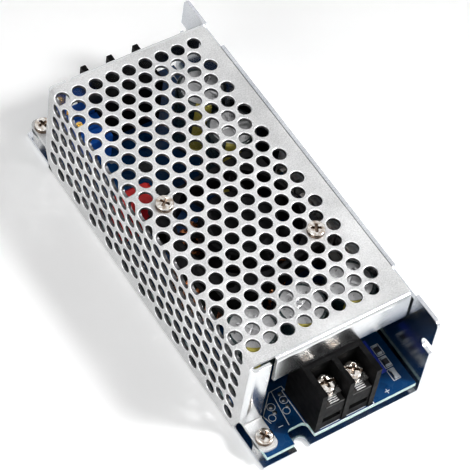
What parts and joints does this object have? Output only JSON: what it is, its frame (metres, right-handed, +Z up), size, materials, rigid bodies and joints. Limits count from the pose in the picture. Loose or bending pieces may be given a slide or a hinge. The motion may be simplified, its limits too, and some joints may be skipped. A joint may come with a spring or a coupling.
{
  "type": "boost converter module",
  "caption": "Boost converter board in a folded aluminium case with a perforated cover, a cooling fan, barrier terminals at both ends and multi-turn trimmers.",
  "frame": {"origin": "centre of the base's underside, midway between the outer faces and the ends", "axes": "+Y along the case from the output end to the input end, +Z up through the perforated top, +X towards the plain side wall"},
  "size_m": [0.057, 0.14, 0.0389],
  "materials": {
    "cover_aluminium": "satin",
    "case_aluminium": "polished",
    "circuit_board": "gloss solder mask",
    "bright_steel": "nickel plated",
    "tinned_brass": "tinned",
    "black_plastic": "matte",
    "fan_black": "satin",
    "rotor_black": "satin",
    "ferrite": "matte",
    "enamelled_copper": "gloss enamel",
    "capacitor_sleeve": "gloss",
    "trimmer_blue": "satin",
    "brass": "turned",
    "film_red": "gloss",
    "chip_black": "matte",
    "insulator_grey": "matte",
    "socket_white": "satin",
    "lead_red": "satin",
    "lead_black": "satin"
  },
  "bodies": {
    "case": {"board_screws": "bright_steel", "chassis": "case_aluminium", "chip_resistors": "chip_black", "circuit_board": "circuit_board", "controller_chip_1": "chip_black", "controller_chip_2": "chip_black", "cover": "cover_aluminium", "fan_frame": "fan_black", "fan_lead_black": "lead_black", "fan_lead_red": "lead_red", "fan_screws": "bright_steel", "fan_socket": "socket_white", "film_capacitor": "film_red", "front_capacitor_1": "capacitor_sleeve", "front_capacitor_2": "capacitor_sleeve", "front_capacitor_3": "capacitor_sleeve", "inductor_core": "ferrite", "inductor_winding": "enamelled_copper", "input_contacts": "tinned_brass", "input_terminal_body": "black_plastic", "insulator_strip": "insulator_grey", "output_contacts": "tinned_brass", "output_terminal_body": "black_plastic", "rear_capacitor_1": "capacitor_sleeve", "rear_capacitor_2": "capacitor_sleeve", "standoffs": "bright_steel", "transistor_1": "chip_black", "transistor_2": "chip_black", "transistor_3": "chip_black", "transistor_4": "chip_black", "trimmer_body_1": "trimmer_blue", "trimmer_body_2": "trimmer_blue", "trimmer_body_3": "trimmer_blue", "wall_screws": "bright_steel"},
    "fan_rotor_body": {"fan_rotor": "rotor_black"},
    "output_clamp_1": {"output_screw_1": "bright_steel", "output_clamp_plate_1": "bright_steel"},
    "output_clamp_2": {"output_screw_2": "bright_steel", "output_clamp_plate_2": "bright_steel"},
    "input_clamp_1": {"input_screw_1": "bright_steel", "input_clamp_plate_1": "bright_steel"},
    "input_clamp_2": {"input_screw_2": "bright_steel", "input_clamp_plate_2": "bright_steel"},
    "trimmer_adjuster_1": {"trimmer_screw_1": "brass"},
    "trimmer_adjuster_2": {"trimmer_screw_2": "brass"},
    "trimmer_adjuster_3": {"trimmer_screw_3": "brass"}
  },
  "joints": [
    {"name": "fan_spin", "type": "hinge", "parent": "case", "child": "fan_rotor_body", "pos_m": [-0.00313, -0.0108, 0.0308], "axis": [0, 0, 1], "continuous": true},
    {"name": "output_clamp_1_lift", "type": "slide", "parent": "case", "child": "output_clamp_1", "axis": [0, 0, 1], "range_m": [0, 0.0024]},
    {"name": "output_clamp_2_lift", "type": "slide", "parent": "case", "child": "output_clamp_2", "axis": [0, 0, 1], "range_m": [0, 0.0024]},
    {"name": "input_clamp_1_lift", "type": "slide", "parent": "case", "child": "input_clamp_1", "axis": [0, 0, 1], "range_m": [0, 0.0024]},
    {"name": "input_clamp_2_lift", "type": "slide", "parent": "case", "child": "input_clamp_2", "axis": [0, 0, 1], "range_m": [0, 0.0024]},
    {"name": "trimmer_turn_1", "type": "hinge", "parent": "case", "child": "trimmer_adjuster_1", "pos_m": [-0.01835, 0.0609, 0.0158], "axis": [0, 0, 1], "continuous": true},
    {"name": "trimmer_turn_2", "type": "hinge", "parent": "case", "child": "trimmer_adjuster_2", "pos_m": [-0.01835, 0.0552, 0.0158], "axis": [0, 0, 1], "continuous": true},
    {"name": "trimmer_turn_3", "type": "hinge", "parent": "case", "child": "trimmer_adjuster_3", "pos_m": [-0.01835, 0.0495, 0.0158], "axis": [0, 0, 1], "continuous": true}
  ]
}
